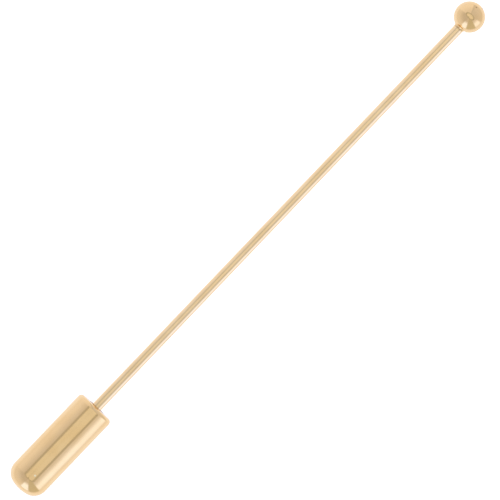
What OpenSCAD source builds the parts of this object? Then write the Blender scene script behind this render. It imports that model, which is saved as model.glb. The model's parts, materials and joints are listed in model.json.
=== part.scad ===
// Stick pin (tie tack): a ball-headed pin wire whose point is covered by a bullet-shaped friction clutch.
// The axis of the pin is X. The origin is on that axis at the foot of the ball head's sphere.
// The ball is at +X, the point of the wire and the clutch are at -X.

/* [Head] */
// Diameter of the ball head
ball_d = 3.0; // [2.5:0.1:4]
// Distance from the foot of its sphere to the flat land that the wire's shoulder stands on
land_x = 0.2; // [0.15:0.05:0.3]
// Height of the ring of solder along the wire
solder_h = 0.3; // [0.2:0.05:0.4]

/* [Wire] */
// Diameter of the pin wire
wire_d = 1.0; // [0.9:0.05:1.1]
// Length of wire from the foot of the ball to the mouth of the clutch
bare_len = 49.8; // [30:0.1:70]
// Diameter of the turned-down peg that enters the ball
peg_d = 0.66; // [0.5:0.02:0.68]
// Length of that peg
peg_len = 1.0; // [0.6:0.1:1.8]
// Length of the tapered point, which the clutch covers
point_len = 9.0; // [8:0.1:9.2]

/* [Clutch shell] */
// Outer diameter of the shell
shell_d = 4.0; // [3.8:0.1:5]
// Length of the shell from its mouth to the tip of its dome
shell_len = 10.7; // [10.4:0.1:12]
// Thickness of the drawn sheet
sheet = 0.25; // [0.2:0.05:0.3]
// Radius of the shoulder where the barrel turns into the dome
shoulder_r = 1.45; // [1.3:0.05:1.6]
// Radius of the flat-topped crown of the dome
crown_r = 3.6; // [3:0.1:4.5]
// Outer radius of the rolled-in mouth
roll_r = 0.42; // [0.4:0.02:0.6]
// Diameter of the opening in the rolled mouth
mouth_d = 1.5; // [1.3:0.1:2.2]

/* [Grip core] */
// Running gap between the core and the shell
core_gap = 0.03; // [0.02:0.01:0.05]
// Running gap between the core's bore and the wire
grip_gap = 0.02; // [0.015:0.005:0.04]
// Diameter of the funnel that guides the point in
funnel_d = 1.9; // [1.5:0.1:2]
// Depth of that funnel
funnel_len = 0.8; // [0.6:0.1:1]
// Length of the full-width collar behind the mouth
collar_len = 4.2; // [3:0.1:5]
// Width of the slits that part the jaws
slit_w = 0.3; // [0.2:0.05:0.4]
// Length of the jaws
jaw_len = 4.8; // [3:0.1:5]

/* [Hidden] */
$fn = 96;
ball_r = ball_d / 2;
wire_r = wire_d / 2;
shell_r = shell_d / 2;
mouth_r = mouth_d / 2;
mouth_x = -bare_len;
// The point narrows in three straight stages: each is [share of the point's length, share of the wire's radius].
point_stages = [[0, 1], [0.33, 0.9], [0.69, 0.66], [1, 0.06]];
// The land's radius, and how far the ring of solder stays inside its edge.
land_r = sqrt(pow(ball_r, 2) - pow(ball_r - land_x, 2));
land_rim = 0.01;
// The core: its radius, its front face behind the rolled lip, its back end short of the dome, and its edges.
core_r = shell_r - sheet - core_gap;
core_front = sheet + core_gap;
jaw_r = core_r - 0.22;
core_edge = 0.3;
jaw_edge = 0.15;
core_reach = sqrt(pow(shoulder_r - sheet - core_gap, 2) - pow(jaw_r - shoulder_x(shell_r, shoulder_r), 2));
core_back = shoulder_y(shell_r, shell_len, shoulder_r, crown_r) + core_reach + jaw_edge;
tail_bore_r = 0.14;
gold = [0.93, 0.76, 0.45];
pale_solder = [0.9, 0.74, 0.46];
nylon = [0.93, 0.92, 0.87];

// Centre of the shoulder's arc on a bullet: barrel radius r, length len, shoulder s and crown c.
function shoulder_x(r, s) = r - s;
function shoulder_y(r, len, s, c) = len - c + sqrt(pow(c - s, 2) - pow(shoulder_x(r, s), 2));

// Stands a shape turned about Z on the pin's axis, with its +Z pointing to -X from the given x.
module along_pin(x) {
    translate([x, 0, 0]) rotate([0, -90, 0]) children();
}

// Half of the outline of that bullet, with a mouth edge of radius m.
module half_bullet(r, len, s, c, m) {
    shoulder = [shoulder_x(r, s), shoulder_y(r, len, s, c)];
    crown = [0, len - c];
    crown_edge = (shoulder - crown) * c / (c - s);
    intersection() {
        square([r, len]);
        union() {
            translate([0, m]) square([r, shoulder.y - m]);
            square([r - m, len / 2]);
            translate([r - m, m]) circle(m);
            translate(shoulder) circle(s);
            intersection() {
                translate(crown) circle(c);
                translate(crown) polygon([[0, 0], crown_edge, [crown_edge.x, c], [0, c]]);
            }
        }
    }
}

// Outline of the tapered point, grown by a gap all round and ending in a cylinder of the tail radius.
module half_point(gap, tail) {
    rim = [for (p = point_stages) [max(wire_r * p[1] + gap, tail), point_len * p[0]]];
    polygon(concat([[0, 0]], rim, [[0, point_len]]));
}

module ball_head() {
    color(gold) difference() {
        translate([ball_r, 0, 0]) sphere(ball_r);
        along_pin(land_x) cylinder(r = ball_r, h = ball_r);
        along_pin(land_x + peg_len) cylinder(d = peg_d, h = peg_len * 2);
    }
}

module pin_wire() {
    color(gold) union() {
        along_pin(land_x + peg_len) cylinder(d = peg_d, h = peg_len * 2);
        along_pin(land_x) cylinder(r = wire_r, h = bare_len + land_x);
        along_pin(mouth_x) rotate_extrude() half_point(0, 0);
    }
}

module solder_fillet() {
    color(pale_solder) along_pin(land_x) rotate_extrude()
        polygon([[wire_r, 0], [land_r - land_rim, 0], [wire_r, solder_h]]);
}

module clutch_shell() {
    color(gold) along_pin(mouth_x) rotate_extrude() difference() {
        half_bullet(shell_r, shell_len, shoulder_r, crown_r, roll_r);
        translate([0, sheet]) half_bullet(shell_r - sheet, shell_len - 2 * sheet,
            shoulder_r - sheet, crown_r - sheet, roll_r - sheet);
        translate([0, -sheet]) square([mouth_r, sheet * 3]);
    }
}

module grip_core() {
    jaw_start = core_front + collar_len;
    color(nylon) along_pin(mouth_x) difference() {
        rotate_extrude() difference() {
            polygon([
                [0, core_front], [core_r - core_edge, core_front], [core_r, core_front + core_edge],
                [core_r, jaw_start], [jaw_r, jaw_start + core_edge],
                [jaw_r, core_back - jaw_edge], [jaw_r - jaw_edge, core_back], [0, core_back]
            ]);
            half_point(grip_gap, tail_bore_r);
            polygon([
                [0, 0], [funnel_d / 2, core_front],
                [wire_r, core_front + funnel_len], [0, core_front + funnel_len]
            ]);
            square([tail_bore_r, core_back * 2]);
        }
        for (turn = [0, 90]) rotate(turn)
            translate([-shell_r, -slit_w / 2, core_back - jaw_len]) cube([shell_d, slit_w, jaw_len * 2]);
    }
}

ball_head();
pin_wire();
solder_fillet();
clutch_shell();
grip_core();
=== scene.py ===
# %% [markdown]
# # A gold-plated stick pin
# A stick pin is a length of hard wire with a ball at one end and a ground point at the other. A
# bullet-shaped clutch grips the point, so the pin can't work its way out of the cloth.
# Every piece is round about one axis, so this lesson is about three things: drawing an outline and
# turning it as a lathe does, giving polished metal something good to reflect, and making the small marks
# that keep a mirror finish from looking like a drawing.
#
# The measured model comes first. It says where each piece goes, and nothing here moves it.

import json
import math

import bmesh
import bpy
from mathutils import Matrix, Vector


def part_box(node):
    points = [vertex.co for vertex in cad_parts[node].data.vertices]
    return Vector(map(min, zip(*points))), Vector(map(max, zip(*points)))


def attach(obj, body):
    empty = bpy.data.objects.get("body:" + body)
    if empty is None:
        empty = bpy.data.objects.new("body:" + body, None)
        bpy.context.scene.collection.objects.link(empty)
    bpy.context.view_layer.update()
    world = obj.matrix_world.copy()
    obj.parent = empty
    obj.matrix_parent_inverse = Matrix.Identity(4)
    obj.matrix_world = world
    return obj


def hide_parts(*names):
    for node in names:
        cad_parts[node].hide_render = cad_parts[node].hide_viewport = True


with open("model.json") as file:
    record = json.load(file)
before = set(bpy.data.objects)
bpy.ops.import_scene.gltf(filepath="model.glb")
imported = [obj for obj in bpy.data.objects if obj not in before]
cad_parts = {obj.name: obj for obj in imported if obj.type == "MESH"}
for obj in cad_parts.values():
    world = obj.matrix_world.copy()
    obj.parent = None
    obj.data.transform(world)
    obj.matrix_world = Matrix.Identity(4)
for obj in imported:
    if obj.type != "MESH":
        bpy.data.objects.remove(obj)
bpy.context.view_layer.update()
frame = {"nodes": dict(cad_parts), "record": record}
print("nodes:", sorted(frame["nodes"]))

# %% [markdown]
# ## Sizes
# Outlines are easier to think about in millimetres, as on a drawing, so each piece is drawn in
# millimetres and brought down to metres once, when it becomes an object. The driving sizes are read from
# the measured parts, so the two models can't drift apart. Only small things that the measured model
# leaves out, such as how far an edge is rounded, are named here.

# %% Read the driving sizes, in millimetres
MM = 0.001


def low(node, axis):
    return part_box(node)[0][axis] / MM


def high(node, axis):
    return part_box(node)[1][axis] / MM


mounts = {mount["name"]: mount for mount in frame["record"]["mounts"]}
wire_r = mounts["wire_shank"]["dims"]["r_mm"]
mouth_x = mounts["clutch_mouth"]["pos_m"][0] / MM

ball_r = high("ball_head", 0) / 2
land_x = low("ball_head", 0)
peg_x = high("pin_wire", 0)
point_x = low("pin_wire", 0)
shell_r = high("clutch_shell", 1)
dome_x = low("clutch_shell", 0)
core_front_x = high("grip_core", 0)
core_back_x = low("grip_core", 0)
print(f"ball {2 * ball_r:.2f}, wire {2 * wire_r:.2f}, clutch {2 * shell_r:.2f} x {mouth_x - dome_x:.2f} mm")

# %% [markdown]
# ## The camera
# The pin is looked at from straight above, through a very long lens from half a metre away. From there
# both ends of the pin are seen almost square on, so the mouth of the clutch stays edge-on and its opening
# hardly shows. The pin lies along X, and the camera is turned about its own line of sight until the pin
# runs from the lower left to the upper right of the frame. Working out the distance from the width that
# the frame should show keeps the lens a free choice.

# %% Place the camera
FRAME_WIDTH = 47.53
PIN_SLOPE = math.radians(46.3)
LOOK_AT_X = mouth_x + 20.87
LOOK_AT_Y = -0.22
LENS = 400.0
SENSOR = 36.0
CLIP_SHARE = 0.01

camera = bpy.data.objects.new("camera", bpy.data.cameras.new("camera"))
bpy.context.scene.collection.objects.link(camera)
camera.data.lens = LENS
camera.data.sensor_width = SENSOR
camera_z = FRAME_WIDTH * LENS / SENSOR * MM
camera.location = (LOOK_AT_X * MM, LOOK_AT_Y * MM, camera_z)
camera.rotation_euler = (0, 0, -PIN_SLOPE)
camera.data.clip_start = camera_z * CLIP_SHARE
bpy.context.scene.camera = camera
print(f"camera {1000 * camera_z:.0f} mm above the pin")

# %% [markdown]
# ## The floor
# The pin rests on two places, the rim of the clutch and the ball. The clutch is the thicker of the two,
# so on a level floor the pin would lean. The pin is the measured part and stays level, so the floor leans
# instead, by about half a degree, until it touches both. One right triangle gives the angle: its long side
# is the distance between the two round contacts, and its short side is the difference of their heights.

# %% Lay the floor under the clutch and the ball
FLOOR_HALF = 2.0
ROLL_R = 0.42

rim_x = mouth_x - ROLL_R
rim_z = ROLL_R - shell_r
apart = math.hypot(ball_r - rim_x, rim_z)
slope = math.atan2(-rim_z, ball_r - rim_x) - math.asin((ball_r - ROLL_R) / apart)
floor_z = -ball_r / math.cos(slope) - ball_r * math.tan(slope)

floor_mesh = bmesh.new()
bmesh.ops.create_grid(floor_mesh, x_segments=1, y_segments=1, size=FLOOR_HALF)
bmesh.ops.rotate(floor_mesh, verts=floor_mesh.verts, matrix=Matrix.Rotation(-slope, 3, "Y"))
bmesh.ops.translate(floor_mesh, verts=floor_mesh.verts, vec=(0, 0, floor_z * MM))
floor = bpy.data.objects.new("floor", bpy.data.meshes.new("floor"))
floor_mesh.to_mesh(floor.data)
floor_mesh.free()
bpy.context.scene.collection.objects.link(floor)
floor.visible_glossy = False
print(f"floor leans {math.degrees(slope):.2f} degrees")

# %% [markdown]
# ## A lathe
# Every piece of this pin was turned, drawn or spun about one axis, so the natural tool is a lathe: draw
# half of the outline, then turn it about the axis. The outline could be a curve object with a Screw
# modifier. A pen that works in bmesh is chosen here, because its strokes are the ones on a workshop
# drawing: straight to a point, or round a centre by so many degrees. A straight stroke extrudes the last
# vertex, and an arc spins it, so each bend is a true arc.
#
# A full turn meets itself, and points that lie on the axis fall together there. Both are merged, and only
# then are the normals worked out, so that the surface is closed and faces outwards. MERGE is in
# millimetres. It is far smaller than any face, and larger than the error that a long arc gathers on its
# way back to the axis.

# %% Draw an outline and turn it
TURN_STEPS = 160
ARC_STEP = 2.5
MERGE = 1e-4


class Lathe:
    def __init__(self, x, r):
        self.bm = bmesh.new()
        self.pen = self.bm.verts.new((x, r, 0))

    def line(self, x, r, steps=1):
        start, end = self.pen.co.copy(), Vector((x, r, 0))
        for step in range(steps):
            self.pen = bmesh.ops.extrude_vert_indiv(self.bm, verts=[self.pen])["verts"][0]
            self.pen.co = start.lerp(end, (step + 1) / steps)
        return self

    def arc(self, centre, degrees):
        steps = max(3, round(abs(degrees) / ARC_STEP))
        made = bmesh.ops.spin(self.bm, geom=[self.pen], cent=(*centre, 0), axis=(0, 0, 1),
                              angle=math.radians(degrees), steps=steps)
        self.pen = next(item for item in made["geom_last"] if isinstance(item, bmesh.types.BMVert))
        return self

    def curve(self, x, r, radius):
        """An arc to a point, centred to the left of the way there, or to the right for a negative radius."""
        start, end = self.pen.co.copy(), Vector((x, r, 0))
        way = end - start
        left = Vector((-way.y, way.x, 0)).normalized()
        half = way.length / 2
        centre = (start + end) / 2 + left * math.copysign(math.sqrt(radius * radius - half * half), radius)
        swept = math.degrees(2 * math.asin(half / abs(radius)))
        return self.arc(centre.xy, math.copysign(swept, radius))

    def turn(self, steps=TURN_STEPS):
        bmesh.ops.spin(self.bm, geom=self.bm.verts[:] + self.bm.edges[:], cent=(0, 0, 0), axis=(1, 0, 0),
                       angle=math.radians(360), steps=steps, use_merge=True)
        bmesh.ops.remove_doubles(self.bm, verts=self.bm.verts, dist=MERGE)
        bmesh.ops.recalc_face_normals(self.bm, faces=self.bm.faces)
        return self.bm


# %% [markdown]
# A finished outline becomes an object that sits at the origin with its place in its mesh. Its faces are
# shaded smooth, and only edges sharper than SHARP_EDGE stay crisp. The same step says which moving body
# the piece rides on and which measured part it stands for.

# %% Make an object of a turned shape
SHARP_EDGE = math.radians(32)


def open_edges(bm):
    """How many edges don't have exactly two faces. A closed mesh has none."""
    return sum(1 for edge in bm.edges if not edge.is_manifold)


def make_piece(name, bm, body, node):
    gaps = open_edges(bm)
    mesh = bpy.data.meshes.new(name)
    bmesh.ops.scale(bm, vec=(MM, MM, MM), verts=bm.verts)
    bm.to_mesh(mesh)
    bm.free()
    for face in mesh.polygons:
        face.use_smooth = True
    mesh.set_sharp_from_angle(angle=SHARP_EDGE)
    piece = bpy.data.objects.new(name, mesh)
    bpy.context.scene.collection.objects.link(piece)
    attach(piece, body)
    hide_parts(node)
    print(f"{name}: {len(mesh.polygons)} faces, {gaps} open edges")
    return piece


# %% [markdown]
# ## The ball
# The head is a solid brass ball. It is drilled for a peg on the end of the wire, and its foot is faced
# flat around the hole, so that the wire's shoulder has a land to stand on. A ready-made sphere would need
# both cut out of it. Drawn on the lathe, the ball is one arc from its pole to the edge of the land, then
# the land, the hole and the cone that the drill leaves.

# %% Turn the ball
PEG_R = 0.33
DRILL_CONE_LEN = 0.1

land_r = math.sqrt(ball_r ** 2 - (ball_r - land_x) ** 2)
to_land = math.degrees(math.atan2(land_r, land_x - ball_r))

ball = Lathe(2 * ball_r, 0)
ball.arc((ball_r, 0), to_land)
ball.line(land_x, PEG_R)
ball.line(peg_x, PEG_R)
ball.line(peg_x + DRILL_CONE_LEN, 0)
ball_head = make_piece("ball", ball.turn(), "pin", "ball_head")

# %% [markdown]
# ## The wire
# The wire is drawn through a die, so it is dead straight and the same width all the way. At the ball it is
# turned down to a peg, and at the other end it is ground to a point in a long, slightly swelling taper.
# Three shallow cones make the taper, and the corners between them are bevelled as an outline, before it
# is turned. A bevel only takes metal away, so the point stays inside the bore that was made for it.

# %% Turn the wire and its point
# each stage: share of the point's length, share of the wire's radius
POINT_STAGES = ((0.33, 0.9), (0.69, 0.66), (1.0, 0.06))
STAGE_BLEND = 0.7
BLEND_STEPS = 6
SHANK_STEPS = 40
PEG_CHAMFER = 0.05

point_len = mouth_x - point_x
wire = Lathe(peg_x, 0)
wire.line(peg_x, PEG_R - PEG_CHAMFER)
wire.line(peg_x - PEG_CHAMFER, PEG_R)
wire.line(land_x, PEG_R)
wire.line(land_x, wire_r)
wire.line(mouth_x, wire_r, SHANK_STEPS)
corners = [wire.pen]
for share, width in POINT_STAGES:
    wire.line(mouth_x - point_len * share, wire_r * width)
    corners.append(wire.pen)
# the last stage ends at the tip, which stays sharp
corners.pop()
wire.line(point_x, 0)
bmesh.ops.bevel(wire.bm, geom=corners, offset=STAGE_BLEND, offset_type="OFFSET", affect="VERTICES",
                segments=BLEND_STEPS, profile=0.5, material=-1)
pin_wire = make_piece("wire", wire.turn(), "pin", "pin_wire")

# %% [markdown]
# ## The solder
# Melted solder creeps into the corner between two metals and pulls itself into a hollow curve. So the
# joint is a thin ring with a concave face, feathered out on the wire and on the ball. The ring is drawn
# on the lathe too. Real solder never wets quite evenly, so its outer skin is then moved in and out by
# hundredths of a millimetre in slow waves round the wire. DRAWN_IN first pulls the whole skin in, so that
# the waves nearly always cut into the drawn curve and don't stand out from it.

# %% Turn the solder and let it run unevenly
SOLDER_H = 0.3
FILLET_R = 0.3
LAND_RIM = 0.01
FEATHER = 0.005
UNEVEN = 0.012
# each wave: how many swells go round the wire, where they start, and their share of UNEVEN
WAVES = ((3, 0.7, 1.0), (7, 2.1, 0.6))
DRAWN_IN = 1.2

solder = Lathe(land_x, wire_r)
solder.line(land_x - SOLDER_H, wire_r)
solder.curve(land_x, land_r - LAND_RIM, FILLET_R)
solder.line(land_x, wire_r)
solder_bm = solder.turn()
for vert in solder_bm.verts:
    r = math.hypot(vert.co.y, vert.co.z)
    on_skin = wire_r + FEATHER < r and vert.co.x < land_x - FEATHER
    if on_skin:
        angle = math.atan2(vert.co.z, vert.co.y)
        wave = sum(share * math.sin(swells * angle + start) for swells, start, share in WAVES)
        vert.co.yz = vert.co.yz * (1 + UNEVEN / r * (wave - DRAWN_IN))
solder_ring = make_piece("solder", solder_bm, "pin", "solder_fillet")

# %% [markdown]
# ## The shell of the clutch
# A press draws the shell from a disc of thin brass, like a tiny cup. The cup's end is a dome with a flat
# crown and round shoulders. Its mouth is rolled inwards after the nylon core is in, which holds the core
# and gives the mouth a soft edge. The outline follows one skin and comes back along the other: from the
# tip of the dome along the outside, round the roll and its lip, and back inside to the dome again. Solidify
# could give a single skin its thickness, but it wouldn't make the round lip where the sheet ends.
#
# Smooth shading blends the normals of the faces that meet at a ring, so a long face beside an arc would
# take some of the arc's bend with it and show a false streak. A short ring, CRISP long, ends each arc.

# %% Turn the shell
SHEET = 0.25
SHOULDER_R = 1.45
CROWN_R = 3.6
MOUTH_R = 0.75
CRISP = 0.05
BARREL_STEPS = 8

crown_c = dome_x + CROWN_R
crown_sweep = math.degrees(math.asin((shell_r - SHOULDER_R) / (CROWN_R - SHOULDER_R)))
shoulder_c = (crown_c - (CROWN_R - SHOULDER_R) * math.cos(math.radians(crown_sweep)), shell_r - SHOULDER_R)
roll_c = (mouth_x - ROLL_R, shell_r - ROLL_R)
lip_c = (mouth_x - SHEET / 2, MOUTH_R + SHEET / 2)

shell = Lathe(dome_x, 0)
shell.arc((crown_c, 0), -crown_sweep)
shell.arc(shoulder_c, crown_sweep - 90)
shell.line(shoulder_c[0] + CRISP, shell_r)
shell.line(roll_c[0] - CRISP, shell_r, BARREL_STEPS)
shell.line(roll_c[0], shell_r)
shell.arc(roll_c, -90)
shell.line(mouth_x, lip_c[1])
shell.arc(lip_c, 180)
shell.line(mouth_x - SHEET, roll_c[1])
shell.arc(roll_c, 90)
shell.line(shoulder_c[0], shell_r - SHEET, BARREL_STEPS)
shell.arc(shoulder_c, 90 - crown_sweep)
shell.arc((crown_c, 0), crown_sweep)
clutch_shell = make_piece("shell", shell.turn(), "shell", "clutch_shell")

# %% [markdown]
# ## The nylon core
# The core is the part that grips. Its front is a full-width collar with a funnel that guides the point in,
# and its bore narrows with the wire. Its back is parted by two crossed slits into four jaws that can
# spread. The core is turned first, and then a cross-shaped cutter is taken away from it with a Boolean
# modifier, as a slitting saw would. Cutting with bisect_plane would work too, but each cut face would
# have to be filled around the bore.

# %% Turn the core
BORE_GAP = 0.02
TAIL_BORE_R = 0.14
CORE_EDGE = 0.3
COLLAR_LEN = 4.2
JAW_STEP = 0.22
JAW_EDGE = 0.15
FUNNEL_R = 0.95
FUNNEL_LEN = 0.8

core_r = high("grip_core", 1)
jaw_r = core_r - JAW_STEP
collar_x = core_front_x - COLLAR_LEN

core = Lathe(core_front_x, FUNNEL_R)
core.line(core_front_x, core_r - CORE_EDGE)
core.curve(core_front_x - CORE_EDGE, core_r, CORE_EDGE)
core.line(collar_x, core_r)
core.line(collar_x - CORE_EDGE, jaw_r)
core.line(core_back_x + JAW_EDGE, jaw_r)
core.curve(core_back_x, jaw_r - JAW_EDGE, JAW_EDGE)
core.line(core_back_x, TAIL_BORE_R)
# the tail bore ends where it meets the last cone of the point, and from there the bore follows the cones
(cone_start, start_width), (cone_end, end_width) = POINT_STAGES[-2:]
tail_width = (TAIL_BORE_R - BORE_GAP) / wire_r
way_down = (tail_width - start_width) / (end_width - start_width)
tail_x = mouth_x - point_len * (cone_start + way_down * (cone_end - cone_start))
core.line(tail_x, TAIL_BORE_R)
for share, width in reversed(POINT_STAGES[:-1]):
    core.line(mouth_x - point_len * share, wire_r * width + BORE_GAP)
funnel_x = core_front_x - FUNNEL_LEN
core.line(funnel_x, wire_r + BORE_GAP)
core.line(core_front_x, FUNNEL_R)
grip_core = make_piece("core", core.turn(), "grip", "grip_core")

# %% Slit its back into four jaws
SLIT_W = 0.3
JAW_LEN = 4.8

cutter_bm = bmesh.new()
for across in ((SLIT_W, 2 * shell_r), (2 * shell_r, SLIT_W)):
    box = bmesh.ops.create_cube(cutter_bm, size=1)["verts"]
    bmesh.ops.scale(cutter_bm, vec=(2 * JAW_LEN, *across), verts=box)
    bmesh.ops.translate(cutter_bm, vec=(core_back_x, 0, 0), verts=box)
bmesh.ops.scale(cutter_bm, vec=(MM, MM, MM), verts=cutter_bm.verts)
cutter = bpy.data.objects.new("slitting_saw", bpy.data.meshes.new("slitting_saw"))
cutter_bm.to_mesh(cutter.data)
cutter_bm.free()
bpy.context.scene.collection.objects.link(cutter)

saw_cut = grip_core.modifiers.new("saw_cut", "BOOLEAN")
saw_cut.operation = "DIFFERENCE"
saw_cut.solver = "EXACT"
saw_cut.use_self = True
saw_cut.object = cutter
bpy.context.view_layer.update()
depsgraph = bpy.context.evaluated_depsgraph_get()
slit_mesh = bpy.data.meshes.new_from_object(grip_core.evaluated_get(depsgraph))
grip_core.modifiers.clear()
grip_core.data = slit_mesh
bpy.data.objects.remove(cutter)

# %% Merge the points that the cut leaves side by side
slit_bm = bmesh.new()
slit_bm.from_mesh(slit_mesh)
bmesh.ops.remove_doubles(slit_bm, verts=slit_bm.verts, dist=MERGE * MM)
bmesh.ops.recalc_face_normals(slit_bm, faces=slit_bm.faces)
gaps = open_edges(slit_bm)
slit_bm.to_mesh(slit_mesh)
slit_bm.free()
slit_mesh.set_sharp_from_angle(angle=SHARP_EDGE)
print(f"slit core: {len(slit_mesh.polygons)} faces, {gaps} open edges")

# %% [markdown]
# ## Shader maths as Python
# A material's maths reads best as maths. This small class wraps a socket and turns +, -, * and the rest
# into Math nodes, so that `1 - mask` is a line of Python and a Subtract node. Any other node comes from one
# method, which sets the node's own settings first and then its sockets. Colours go through Mix and Vector
# Math nodes, because a Math node would turn them grey.

# %% Wrap sockets and node trees
class Value:
    def __init__(self, recipe, socket):
        self.recipe, self.socket = recipe, socket

    def math(self, operation, *others):
        node = self.recipe.tree.nodes.new("ShaderNodeMath")
        node.operation = operation
        for socket, value in zip(node.inputs, (self, *others)):
            self.recipe.plug(socket, value)
        return Value(self.recipe, node.outputs[0])

    def flipped(self, operation, other):
        return self.recipe.number(other).math(operation, self)

    def __add__(self, other):
        return self.math("ADD", other)

    def __sub__(self, other):
        return self.math("SUBTRACT", other)

    def __mul__(self, other):
        return self.math("MULTIPLY", other)

    def __truediv__(self, other):
        return self.math("DIVIDE", other)

    def __pow__(self, other):
        return self.math("POWER", other)

    def __rsub__(self, other):
        return self.flipped("SUBTRACT", other)

    def __abs__(self):
        return self.math("ABSOLUTE")

    __radd__ = __add__
    __rmul__ = __mul__

    def fade(self, start, end):
        """0 before start and 1 past end, with a smooth step between. start may be the larger."""
        step = self.recipe.node("ShaderNodeMapRange", {"interpolation_type": "SMOOTHSTEP"},
                                {"Value": self, "From Min": start, "From Max": end})
        return Value(self.recipe, step.outputs[0])


class Recipe:
    def __init__(self, tree):
        self.tree = tree
        tree.nodes.clear()

    def plug(self, socket, value):
        if isinstance(value, Value):
            value = value.socket
        if isinstance(value, bpy.types.NodeSocket):
            self.tree.links.new(value, socket)
        else:
            socket.default_value = value

    def node(self, kind, settings=None, sockets=None):
        made = self.tree.nodes.new(kind)
        for name, value in (settings or {}).items():
            setattr(made, name, value)
        for name, value in (sockets or {}).items():
            self.plug(made.inputs[name], value)
        return made

    def number(self, value):
        made = self.tree.nodes.new("ShaderNodeValue")
        made.outputs[0].default_value = value
        return Value(self, made.outputs[0])

    def value(self, kind, settings=None, sockets=None, output=0):
        return Value(self, self.node(kind, settings, sockets).outputs[output])

    def tinted(self, colour, tint, amount):
        return self.mix(amount, colour, tint, blend_type="MULTIPLY")

    def mix(self, factor, first, second, blend_type="MIX"):
        made = self.node("ShaderNodeMix", {"data_type": "RGBA", "blend_type": blend_type})
        for name, value in (("Factor_Float", factor), ("A_Color", first), ("B_Color", second)):
            self.plug(next(s for s in made.inputs if s.identifier == name), value)
        return Value(self, next(s for s in made.outputs if s.identifier == "Result_Color"))


# %% [markdown]
# ## The light tent
# Polished metal has no look of its own: it shows what stands round it. Small jewellery is best shown
# inside a tent of pale cloth, and the tent is what gives this pin its face. It could be built of panels
# and area lights. It is painted on the world instead, because then nothing of it stands in the way when
# the pin is looked at from another side.
#
# Places in the tent are directions, in degrees. `tilt` is the angle from straight up and `turn` is the
# compass angle from +X. `along` and `across_y` say how far a direction leans from straight up towards +X
# and +Y. A round bar that lies along X sees only the slice of the tent where `along` is near 0, from side
# to side. A ball sees nearly all of it.

# %% Name the directions in the tent
world = bpy.data.worlds.new("light_tent")
world.use_nodes = True
bpy.context.scene.world = world
bpy.context.scene.view_settings.view_transform = "Standard"
tent = Recipe(world.node_tree)

way = tent.node("ShaderNodeSeparateXYZ", sockets={"Vector": tent.value("ShaderNodeTexCoord")})
way_x, way_y, way_z = (Value(tent, way.outputs[i]) for i in range(3))
tilt = way_z.math("ARCCOSINE").math("DEGREES")
turn = way_y.math("ARCTAN2", way_x).math("DEGREES")
along = way_x.math("ARCTAN2", way_z).math("DEGREES")
across_y = way_y.math("ARCTAN2", way_z).math("DEGREES")


def sector(centre, half, soft):
    """1 inside a slice of the compass, fading to 0 over soft degrees at both its sides."""
    off = abs((turn - centre).math("WRAP", 180.0, -180.0))
    return off.fade(half + soft / 2, half - soft / 2)


print("four directions named with", len(world.node_tree.nodes), "nodes")

# %% [markdown]
# ### The card overhead
# A grey-white card hangs overhead, round the lens. It shows as the plain panel along the middle of the
# clutch and as the small disc on top of the ball. Its outline is a superellipse: one power says how
# square an oval is. `card` is 1 on the outline, less inside and more outside. The unlit gap round the card
# reaches out to GAP_EDGE, and shows as the two thin dark lines. A card stops well above the level of the
# pin, so low directions never see it or its gap.

# %% Hang the card and leave a gap round it
CARD_MIDDLE = 4.0
CARD_ALONG = 14.0
CARD_ACROSS = 28.0
CARD_POWER = 2.4
CARD_EDGE = (1.01, 0.99)
GAP_EDGE = (1.36, 1.42)
LOWEST = (80, 70)

card_x = (abs(along - CARD_MIDDLE) / CARD_ALONG) ** CARD_POWER
card_y = (abs(across_y) / CARD_ACROSS) ** CARD_POWER
card = (card_x + card_y) ** (1 / CARD_POWER)
on_card = card.fade(*CARD_EDGE) * tilt.fade(*LOWEST)
past_gap = card.fade(*GAP_EDGE).math("MAXIMUM", tilt.fade(*reversed(LOWEST)))
print(f"card {2 * CARD_ALONG:.0f} by {2 * CARD_ACROSS:.0f} degrees")

# %% Light the card and cut the hole for the lens
CARD_LIGHT = 0.78
GLOW = 0.10
GLOW_MIDDLE = 2
GLOW_REACH = 6
LENS_ALONG = -7.5
LENS_ACROSS = 3.5
LENS_EDGE = (3.2, 2.2)
LENS_DARKENS = 0.5

glow = abs(along - GLOW_MIDDLE).fade(GLOW_REACH, 0)
lens_off = ((along - LENS_ALONG) ** 2 + (across_y - LENS_ACROSS) ** 2) ** 0.5
card_light = CARD_LIGHT + GLOW * glow - LENS_DARKENS * lens_off.fade(*LENS_EDGE)
card_paint = tent.value("ShaderNodeCombineXYZ", sockets={"X": card_light, "Y": card_light, "Z": card_light})
print(f"card light {CARD_LIGHT:.2f} to {CARD_LIGHT + GLOW:.2f}")

# %% [markdown]
# ### The walls
# The walls are cloth, seamed at the corners. Each is a slice of the compass that is a little lighter or
# darker than the rest, and gets lighter or darker still from its top to its foot. On the ball they show as
# wedges round the disc. One wall has a warmer light behind it.

# %% Stand the walls round the pin
WALL_TOP, WALL_FOOT = 36, 95
WALL_LIGHT = 0.68
WALL_RISE = 0.08
# each wall: its middle, half its width and how soft its edges are, in degrees, then the light that it adds
# at its top and how much more it adds at its foot
WALLS = {
    "bright": (58, 35, 8, 0.13, 0.055),
    "graded": (138, 45, 8, -0.07, 0.14),
    "warm": (-129, 23, 6, -0.08, -0.04),
    "seam": (18, 4, 8, -0.08, 0.0),
}
CLOTH = (1.0, 1.0, 1.12, 1)
WARM_CLOTH = (1.0, 1.0, 0.95, 1)
TABLE_STARTS = (102, 114)

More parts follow.
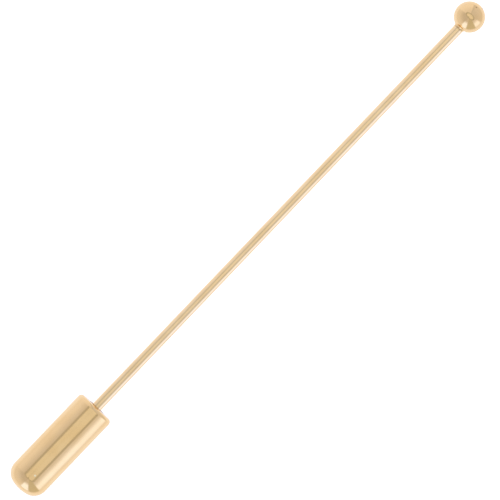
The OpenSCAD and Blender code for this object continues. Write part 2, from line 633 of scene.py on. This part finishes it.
climb = tilt.fade(WALL_TOP, WALL_FOOT)
wall_light = WALL_LIGHT + WALL_RISE * climb
for middle, half, soft, at_top, more_at_foot in WALLS.values():
    wall_light = wall_light + sector(middle, half, soft) * (at_top + more_at_foot * climb)
table = tilt.fade(*TABLE_STARTS)
cloth = tent.mix(sector(*WALLS["warm"][:3]) * (1 - table), CLOTH, WARM_CLOTH)
walls = tent.value("ShaderNodeVectorMath", {"operation": "SCALE"}, {"Vector": cloth, "Scale": wall_light})
print(len(WALLS), "walls and seams")

# %% [markdown]
# ### The table and the windows
# Below the walls is the white table. It is painted here for the parts of the metal that look past the
# floor. Two windows in the walls are brighter and bluer than the cloth. Gold gives back little blue, so
# only a light with blue to spare can leave a nearly white glint on it. The long window lies square to the
# pin and makes the bright stripe down the side of the clutch and of the wire. Its top fades in twice, a
# faint haze first. The low window is at the clutch's end and shows as the bright patch on the dome.

# %% Lay the table and open the windows
TABLE = (0.96, 0.96, 1.1, 1)
FAR_TABLE = (0.99, 1.05, 1.3, 1)
FAR_TABLE_STARTS = (108, 135)
LONG_WINDOW = (-88, 17, 8)
LONG_WINDOW_LIGHT = (1.12, 1.25, 1.72, 1)
HAZE_SHARE = 0.14
LOW_WINDOW = (-168, 14, 8)
LOW_WINDOW_LIGHT = (1.1, 1.3, 1.9, 1)

table_paint = tent.mix(tilt.fade(*FAR_TABLE_STARTS), TABLE, FAR_TABLE)
paint = tent.mix(table, walls, table_paint)
window_top = HAZE_SHARE * tilt.fade(30, 42) + (1 - HAZE_SHARE) * tilt.fade(44, 76)
long_window = sector(*LONG_WINDOW) * window_top * tilt.fade(116, 86)
low_window = sector(*LOW_WINDOW) * tilt.fade(38, 66) * tilt.fade(110, 98)
paint = tent.mix(long_window, paint, LONG_WINDOW_LIGHT)
paint = tent.mix(low_window, paint, LOW_WINDOW_LIGHT)
print("windows at", LONG_WINDOW[0], "and", LOW_WINDOW[0], "degrees")

# %% [markdown]
# Last, the gap and the card are laid over the rest. The camera itself, which looks past the pin at the
# tent only in views from low down, sees plain white there.

# %% Put the tent together
GAP_GREY = (0.5, 0.5, 0.5, 1)
WHITE = (1.0, 1.0, 1.0, 1)

paint = tent.mix(past_gap, GAP_GREY, paint)
paint = tent.mix(on_card, paint, card_paint)
seen = tent.mix(tent.value("ShaderNodeLightPath"), paint, WHITE)
background = tent.node("ShaderNodeBackground", sockets={"Color": seen})
tent.node("ShaderNodeOutputWorld", sockets={"Surface": background.outputs[0]})
print("tent painted with", len(world.node_tree.nodes), "nodes")

# %% [markdown]
# ## A floor without shadows
# Small things are often shown on a light table: a sheet of white paper lit from below, which drowns the
# shadows. Here the paper glows a little for the same reason, and a soft light overhead brings it up to
# white. Neither shows in the metal: the light and the floor are hidden from reflections, which belong to
# the tent alone.

# %% Hang the overhead light
LIGHT_SIZE = 0.8
LIGHT_HEIGHT = 0.8
LIGHT_POWER = 3.6

overhead = bpy.data.objects.new("overhead", bpy.data.lights.new("overhead", "AREA"))
overhead.data.shape = "SQUARE"
overhead.data.size = LIGHT_SIZE
overhead.data.energy = LIGHT_POWER
overhead.location = (LOOK_AT_X * MM, 0, LIGHT_HEIGHT)
overhead.visible_glossy = False
bpy.context.scene.collection.objects.link(overhead)
print(f"overhead light {LIGHT_POWER} W at {LIGHT_HEIGHT} m")


# %% Make the paper glow
def new_material(name):
    """A material with an empty node tree, and the recipe that fills it."""
    material = bpy.data.materials.new(name)
    material.use_nodes = True
    return material, Recipe(material.node_tree)


PAPER = (0.9, 0.9, 0.9, 1)
PAPER_GLOW = 0.5

white_paper, recipe = new_material("white_paper")
skin = recipe.node("ShaderNodeBsdfPrincipled", {}, {
    "Base Color": PAPER, "Roughness": 1.0, "Emission Color": WHITE, "Emission Strength": PAPER_GLOW})
recipe.node("ShaderNodeOutputMaterial", {}, {"Surface": skin.outputs[0]})
floor.data.materials.append(white_paper)
print("paper glows at", PAPER_GLOW)

# %% [markdown]
# ## Polished gold plate
# Gold takes its colour from how it reflects, so it is a metal with a warm tint and a very low roughness.
# What keeps it from looking like a mirror in a drawing is small: a haze that comes and goes, cloudy
# patches where the plating is paler, and fine lines left by the die or the buff. All of them are noise on
# the piece's own coordinates. The lines are noise too, stretched along the way that the metal was drawn.
# At a grazing angle a metal turns white, and EDGE_TINT keeps the rim of each piece warm.

# %% Scatter noise and place single marks
GOLD = (0.95, 0.67, 0.33, 1)
WIRE_GOLD = (0.95, 0.71, 0.40, 1)
DEEPER = (0.93, 0.88, 0.80, 1)
PALER = (1.0, 1.04, 1.15, 1)
EDGE_TINT = (1.0, 0.92, 0.78, 1)


def noise(recipe, place, stretch, detail):
    """Noise with so many features a millimetre along X, Y and Z, and so many finer octaves on top."""
    scaled = recipe.value("ShaderNodeVectorMath", {"operation": "MULTIPLY"},
                          {"Vector": place, 1: tuple(s / MM for s in stretch)})
    return recipe.value("ShaderNodeTexNoise", {}, {"Vector": scaled, "Scale": 1.0, "Detail": detail})


def mark(recipe, place, at, radius):
    """1 at one spot of the surface, fading to 0 at its radius. Both are in millimetres."""
    distance = recipe.value("ShaderNodeVectorMath", {"operation": "DISTANCE"},
                            {"Vector": place, 1: tuple(c * MM for c in at)}, "Value")
    return distance.fade(radius * MM, 0)


print("gold", GOLD[:3], "and wire gold", WIRE_GOLD[:3])

# %% [markdown]
# Two kinds of mark sit at chosen spots. Pits are rough: tiny holes in the brass that the plating didn't
# fill.
# Their dark colour is painted shade, which stands in for the shade inside a hole that has no geometry. A
# glint is a painted highlight: a pale spot of colour where the shell catches the light. Neither is more
# than a third of a millimetre across, so a change of colour and roughness is enough, with no geometry.

# %% Plate a piece with gold
HAZE_DEEPENS = 0.3
HAZE_ROUGHENS = 0.05
LINES_ROUGHEN = 0.04
CLOUD_PALES = 0.5
SWELL_HEIGHT = 0.5
HEIGHT_UNIT = 1e-6
# painted shade: the dark colour that stands for the shade inside a pit
PAINTED_PIT_SHADE = (0.2, 0.15, 0.1, 1)
PIT_ROUGHENS = 0.3
# the colour of a painted highlight, a pale glint of light
PAINTED_GLINT_GOLD = (1.0, 0.97, 0.76, 1)


def gold(name, base, lines, rough, line_height, painted_glints=(), shaded_pits=()):
    material, recipe = new_material(name)
    place = recipe.value("ShaderNodeTexCoord", output="Object")
    haze = noise(recipe, place, (0.5, 0.5, 0.5), 3.0).fade(0.4, 0.65)
    drawn = noise(recipe, place, lines, 3.0)
    swell = noise(recipe, place, (1.2, 1.2, 1.2), 1.0)
    cloud = noise(recipe, place, (0.25, 0.9, 0.9), 2.0).fade(0.35, 0.7)
    colour = recipe.tinted(base, DEEPER, haze * HAZE_DEEPENS)
    colour = recipe.tinted(colour, PALER, cloud * CLOUD_PALES)
    height = drawn * line_height + swell * SWELL_HEIGHT
    roughness = rough + HAZE_ROUGHENS * haze + LINES_ROUGHEN * drawn
    # painted highlight: pale spots of colour that stand in for glints of light
    for at, radius in painted_glints:
        colour = recipe.mix(mark(recipe, place, at, radius), colour, PAINTED_GLINT_GOLD)
    # painted shade: each pit is darkened with colour that stands in for the shade inside a hole with no
    # geometry, and roughened
    for at, radius in shaded_pits:
        shaded_pit = mark(recipe, place, at, radius)
        colour = recipe.tinted(colour, PAINTED_PIT_SHADE, shaded_pit)
        roughness = roughness + PIT_ROUGHENS * shaded_pit
    bump = recipe.node("ShaderNodeBump", {}, {"Strength": 1.0, "Distance": HEIGHT_UNIT, "Height": height})
    skin = recipe.node("ShaderNodeBsdfPrincipled", {}, {
        "Base Color": colour, "Metallic": 1.0, "Specular Tint": EDGE_TINT, "Roughness": roughness,
        "Normal": bump.outputs[0]})
    recipe.node("ShaderNodeOutputMaterial", {}, {"Surface": skin.outputs[0]})
    print(f"{name}: {len(recipe.tree.nodes)} nodes")
    return material


# %% [markdown]
# The four gold pieces differ in how they were worked. The buffed ball has no direction. The wire and the
# shell were drawn along X, so their lines run that way. The solder was left as it set: rougher and lumpy.

# %% Plate the ball, the wire, the shell and the solder
# each mark: where it is, in millimetres, and its radius
# painted shade: the ball's pits are darkened in colour, standing in for the shade inside them
BALL_SHADED_PITS = (((2.56, 0.15, 1.05), 0.11), ((2.88, -0.34, 0.48), 0.13))
# a painted highlight: a pale glint near where the shell's barrel meets its dome
SHELL_PAINTED_GLINTS = (((-58.45, -0.27, 1.98), 0.16),)

ball_head.data.materials.append(gold("ball_gold", GOLD, (9, 9, 9), 0.07, 0.25, shaded_pits=BALL_SHADED_PITS))
pin_wire.data.materials.append(gold("wire_gold", WIRE_GOLD, (0.25, 16, 16), 0.09, 0.8))
clutch_shell.data.materials.append(gold("shell_gold", GOLD, (0.4, 12, 12), 0.08, 0.5, painted_glints=SHELL_PAINTED_GLINTS))
solder_ring.data.materials.append(gold("solder_gold", GOLD, (6, 6, 6), 0.16, 3.0))

# %% [markdown]
# ## Nylon
# Natural nylon is a milky plastic: light goes in a little way and comes out again, so it needs subsurface
# scattering and not just a pale colour. The tool that turned the plug left faint rings round it.

# %% Make the nylon
MILK = (0.86, 0.85, 0.78, 1)
PALE_MILK = (0.93, 0.92, 0.87, 1)
NYLON_IOR = 1.53
SCATTER = 0.4
SCATTER_REACH = 0.4 * MM
SCATTER_COLOURS = (1.0, 0.9, 0.7)
RING_HEIGHT = 4e-6

nylon, recipe = new_material("nylon")
place = recipe.value("ShaderNodeTexCoord", output="Object")
mottle = noise(recipe, place, (2, 2, 2), 3.0)
rings = noise(recipe, place, (14, 1, 1), 2.0)
milk = recipe.mix(mottle, MILK, PALE_MILK)
bump = recipe.node("ShaderNodeBump", {}, {"Strength": 0.6, "Distance": RING_HEIGHT, "Height": rings})
skin = recipe.node("ShaderNodeBsdfPrincipled", {}, {
    "Base Color": milk, "Roughness": 0.38 + 0.15 * mottle, "IOR": NYLON_IOR, "Subsurface Weight": SCATTER,
    "Subsurface Radius": SCATTER_COLOURS, "Subsurface Scale": SCATTER_REACH, "Normal": bump.outputs[0]})
recipe.node("ShaderNodeOutputMaterial", {}, {"Surface": skin.outputs[0]})
grip_core.data.materials.append(nylon)
print(f"nylon: {len(recipe.tree.nodes)} nodes")
